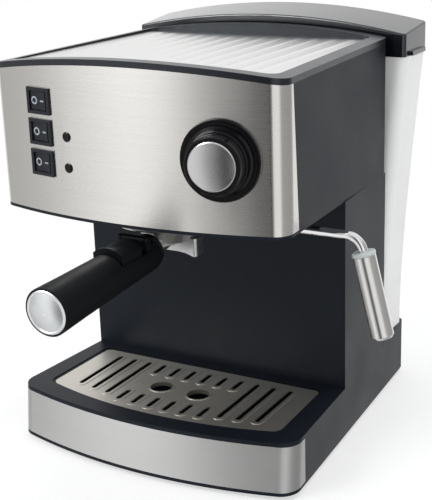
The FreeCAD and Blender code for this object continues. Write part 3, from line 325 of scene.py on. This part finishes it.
# Marks printed on the rockers: a ring for off and a dash for on, in metres from the rocker's pivot.
ROCKER_TILT = math.radians(4)
MARK_OUT = 0.00434
MARK_ASIDE = 0.0038
FACE_RISE, FACE_HALF = 0.0006, 0.0072
FACE_SLOPE = math.atan(FACE_RISE / FACE_HALF)
MARK_T = 0.00006
RING_R = (0.0016, 0.0026)
DASH_HALF = 0.0019
DASH_R = 0.0005


def flat_outline(form, points):
    """Adds a thin solid with the given outline, its back at the origin's level."""
    face = form.faces.new([form.verts.new((x, y, 0)) for x, y in points])
    made = bmesh.ops.extrude_face_region(form, geom=[face])
    tops = [v for v in made["geom"] if isinstance(v, bmesh.types.BMVert)]
    bmesh.ops.translate(form, verts=tops, vec=(0, 0, MARK_T))
    return list({*face.verts, *tops})


def arc(centre, radius, start, stop, steps):
    turns = [start + (stop - start) * i / steps for i in range(steps + 1)]
    return [(centre + radius * math.cos(t), radius * math.sin(t)) for t in turns]


def flat_ring(form, inner, outer, steps=40):
    """Adds a thin flat ring about the origin."""
    rows = []
    for radius, z in ((inner, 0), (inner, MARK_T), (outer, MARK_T), (outer, 0)):
        turns = [2 * math.pi * i / steps for i in range(steps)]
        rows.append([form.verts.new((radius * math.cos(t), radius * math.sin(t), z)) for t in turns])
    for low, high in zip(rows, rows[1:] + rows[:1]):
        for i in range(steps):
            j = (i + 1) % steps
            form.faces.new((low[i], low[j], high[j], high[i]))
    return [v for row in rows for v in row]


def rocker_marks(number):
    """Ring and dash that lie on the sloped halves of one rocker's face."""
    joint = next(j for j in frame["record"]["behaviour"]["joints"] if j["child"] == f"rocker_{number}")
    pivot = Vector(joint["pos_m"])
    out = panel_out(pivot.x)
    along = Vector((-out.y, out.x, 0))
    seat = Matrix((along, Vector((0, 0, 1)), out)).transposed().to_4x4()
    seat = Matrix.Translation(pivot) @ seat @ Matrix.Rotation(-ROCKER_TILT, 4, "Y")
    form = bmesh.new()
    dash = arc(DASH_HALF - DASH_R, DASH_R, -math.pi / 2, math.pi / 2, 8)
    dash += arc(DASH_R - DASH_HALF, DASH_R, math.pi / 2, 3 * math.pi / 2, 8)
    for side, verts in ((-1, flat_ring(form, *RING_R)), (1, flat_outline(form, dash))):
        place = seat @ Matrix.Translation((side * MARK_ASIDE, 0, MARK_OUT))
        bmesh.ops.transform(form, matrix=place @ Matrix.Rotation(-side * FACE_SLOPE, 4, "Y"), verts=verts)
    bmesh.ops.recalc_face_normals(form, faces=form.faces)
    mesh = bpy.data.meshes.new(f"rocker_{number}_marks")
    form.to_mesh(mesh)
    form.free()
    mesh.materials.append(LOOKS["print_grey"])
    made = bpy.data.objects.new(mesh.name, mesh)
    bpy.context.scene.collection.objects.link(made)
    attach(made, f"rocker_{number}")


def camera():
    data = bpy.data.cameras.new("camera")
    data.sensor_width = SENSOR_W
    data.lens = LENS
    made = bpy.data.objects.new("camera", data)
    turn = Matrix((CAMERA_RIGHT, CAMERA_UP, CAMERA_BACK)).transposed().to_4x4()
    made.matrix_world = Matrix.Translation(CAMERA_AT) @ turn
    bpy.context.scene.collection.objects.link(made)
    bpy.context.scene.camera = made


# Area lamps: place, aim, size, power, and whether shiny surfaces mirror them.
LAMPS = {
    "key": ((-0.9, -1.1, 1.3), (0, 0, 0.15), (0.9, 0.9), 22, True),
    "side": ((1.4, -0.3, 0.7), (0, 0, 0.15), (0.5, 1.2), 6, False),
    "top": ((0.1, 0.3, 1.6), (0, 0, 0.2), (1.0, 1.0), 14, False),
}


def lamp(name, at, aim, size, power, mirrored):
    data = bpy.data.lights.new(name, "AREA")
    data.shape = "RECTANGLE"
    data.size, data.size_y = size
    data.energy = power
    made = bpy.data.objects.new(name, data)
    made.location = at
    made.visible_glossy = mirrored
    made.rotation_mode = "QUATERNION"
    made.rotation_quaternion = (Vector(aim) - Vector(at)).to_track_quat("-Z", "Y")
    bpy.context.scene.collection.objects.link(made)


# The floor: its radius, its drop below the feet, and how white it turns from near to far.
FLOOR_R = 6.0
FLOOR_DROP = 0.0002
WHITE_NEAR, WHITE_FAR = 0.6, 1.0
NEAR, FAR = 0.25, 0.7


def floor():
    mesh = bpy.data.meshes.new("floor")
    form = bmesh.new()
    bmesh.ops.create_circle(form, cap_ends=True, radius=FLOOR_R, segments=64)
    form.to_mesh(mesh)
    form.free()
    made = bpy.data.objects.new("floor", mesh)
    made.location = (0, 0, -FLOOR_DROP)
    made.visible_glossy = False
    bpy.context.scene.collection.objects.link(made)
    look = Look("floor", (0.92, 0.92, 0.92), 0.7, Specular_IOR_Level=0.0)
    look.tinted(look.noise(3.0), 0.99, 1.01)
    glow = look.node("ShaderNodeEmission")
    path = look.node("ShaderNodeLightPath")
    away = look.node("ShaderNodeVectorMath", operation="LENGTH")
    look.link(look.coords, away.inputs[0])
    whiter = look.ranged(away.outputs["Value"], WHITE_NEAR, WHITE_FAR, NEAR, FAR)
    share = look.math("MULTIPLY", path.outputs["Is Camera Ray"], whiter)
    mix = look.node("ShaderNodeMixShader")
    look.link(share, mix.inputs["Fac"])
    look.link(look.shader.outputs["BSDF"], mix.inputs[1])
    look.link(glow.outputs["Emission"], mix.inputs[2])
    look.link(mix.outputs["Shader"], look.tree.nodes["Material Output"].inputs["Surface"])
    mesh.materials.append(look.mat)


# What polished surfaces see round the machine: brightness by compass angle, 0 in front, 90 to the right.
STUDIO = ((-180, 1.15), (-120, 1.0), (-84, 0.5), (-62, 0.6), (-46, 0.85), (-32, 1.04), (-21, 0.94),
          (-12, 0.47), (-3, 0.30), (4, 0.03), (16, 0.03), (22, 0.95), (58, 1.0), (72, 0.45), (131, 0.38),
          (149, 0.42), (158, 1.05), (180, 1.15))
# Higher up, between these heights on a sphere of radius 1, an even overhead brightness takes over.
OVERHEAD_FROM, OVERHEAD_FULL = 0.45, 0.8
OVERHEAD = 0.9
# What matt surfaces see from all round.
SOFT_TINT = (0.96, 0.98, 1.0, 1)
SOFT_STRENGTH = 0.5


def surroundings():
    world = bpy.data.worlds.new("studio")
    world.use_nodes = True
    bpy.context.scene.world = world
    tree = world.node_tree

    def node(kind, **settings):
        made = tree.nodes.new(kind)
        for key, value in settings.items():
            setattr(made, key, value)
        return made

    def math_node(operation, *values):
        made = node("ShaderNodeMath", operation=operation)
        for socket, value in zip(made.inputs, values):
            if isinstance(value, (int, float)):
                socket.default_value = value
            else:
                tree.links.new(value, socket)
        return made.outputs["Value"]

    split = node("ShaderNodeSeparateXYZ")
    tree.links.new(node("ShaderNodeTexCoord").outputs["Generated"], split.inputs["Vector"])
    angle = math_node("ARCTAN2", split.outputs["X"], math_node("MULTIPLY", split.outputs["Y"], -1.0))
    turn = math_node("ADD", math_node("DIVIDE", angle, 2 * math.pi), 0.5)
    ramp = node("ShaderNodeValToRGB")
    stops = ramp.color_ramp.elements
    while len(stops) < len(STUDIO):
        stops.new(0.5)
    for stop, (degrees, level) in zip(stops, STUDIO):
        stop.position = degrees / 360 + 0.5
        stop.color = (level, level, level, 1)
    tree.links.new(turn, ramp.inputs["Fac"])
    over = node("ShaderNodeMapRange")
    over.inputs["From Min"].default_value = OVERHEAD_FROM
    over.inputs["From Max"].default_value = OVERHEAD_FULL
    tree.links.new(split.outputs["Z"], over.inputs["Value"])
    lit = node("ShaderNodeMix", data_type="RGBA")
    tree.links.new(over.outputs["Result"], lit.inputs[0])
    tree.links.new(ramp.outputs["Color"], lit.inputs[6])
    lit.inputs[7].default_value = (OVERHEAD, OVERHEAD, OVERHEAD, 1)
    soft = tree.nodes["Background"]
    soft.inputs["Color"].default_value = SOFT_TINT
    soft.inputs["Strength"].default_value = SOFT_STRENGTH
    mirrored = node("ShaderNodeBackground")
    tree.links.new(lit.outputs[2], mirrored.inputs["Color"])
    white = node("ShaderNodeBackground")
    white.inputs["Color"].default_value = (1, 1, 1, 1)
    path = node("ShaderNodeLightPath")
    first = node("ShaderNodeMixShader")
    tree.links.new(path.outputs["Is Glossy Ray"], first.inputs["Fac"])
    tree.links.new(soft.outputs["Background"], first.inputs[1])
    tree.links.new(mirrored.outputs["Background"], first.inputs[2])
    last = node("ShaderNodeMixShader")
    seen = math_node("MAXIMUM", path.outputs["Is Camera Ray"], path.outputs["Is Transmission Ray"])
    tree.links.new(seen, last.inputs["Fac"])
    tree.links.new(first.outputs["Shader"], last.inputs[1])
    tree.links.new(white.outputs["Background"], last.inputs[2])
    tree.links.new(last.outputs["Shader"], tree.nodes["World Output"].inputs["Surface"])


paint_nodes()
for number in (1, 2, 3):
    rocker_marks(number)
camera()
floor()
surroundings()
for name, settings in LAMPS.items():
    lamp(name, *settings)
bpy.context.scene.view_settings.view_transform = "Standard"
